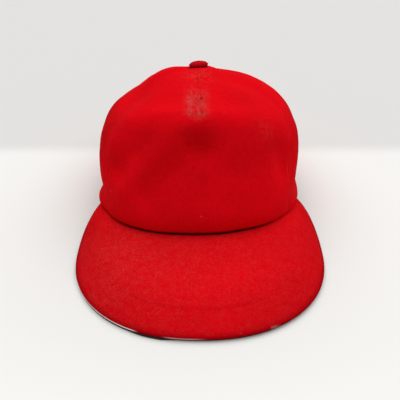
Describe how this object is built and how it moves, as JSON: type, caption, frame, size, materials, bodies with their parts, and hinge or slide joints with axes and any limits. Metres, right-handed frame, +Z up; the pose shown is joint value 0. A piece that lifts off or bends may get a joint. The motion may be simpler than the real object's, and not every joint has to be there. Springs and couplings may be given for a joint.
{
  "type": "hunting cap",
  "caption": "Soft red wool hunting cap with a five-panel crown, a short dart under the covered button, a broad curved peak and a plain sweatband, at rest on a flat surface.",
  "frame": {"origin": "middle of the cap's outer sizes across and along, on the surface that it rests on", "axes": "+Z up, the peak points along -Y, +X is to the right of someone who faces the peak"},
  "size_m": [0.191, 0.2828, 0.1232],
  "materials": {
    "wool": "milled, soft and matt",
    "dark_cloth": "plain weave, matt"
  },
  "bodies": {
    "root": {"crown_front": "wool", "crown_side_right": "wool", "crown_back_right": "wool", "crown_back_left": "wool", "crown_side_left": "wool", "peak": "wool", "peak_under": "dark_cloth", "top_button": "wool", "sweatband": "dark_cloth"}
  },
  "joints": []
}
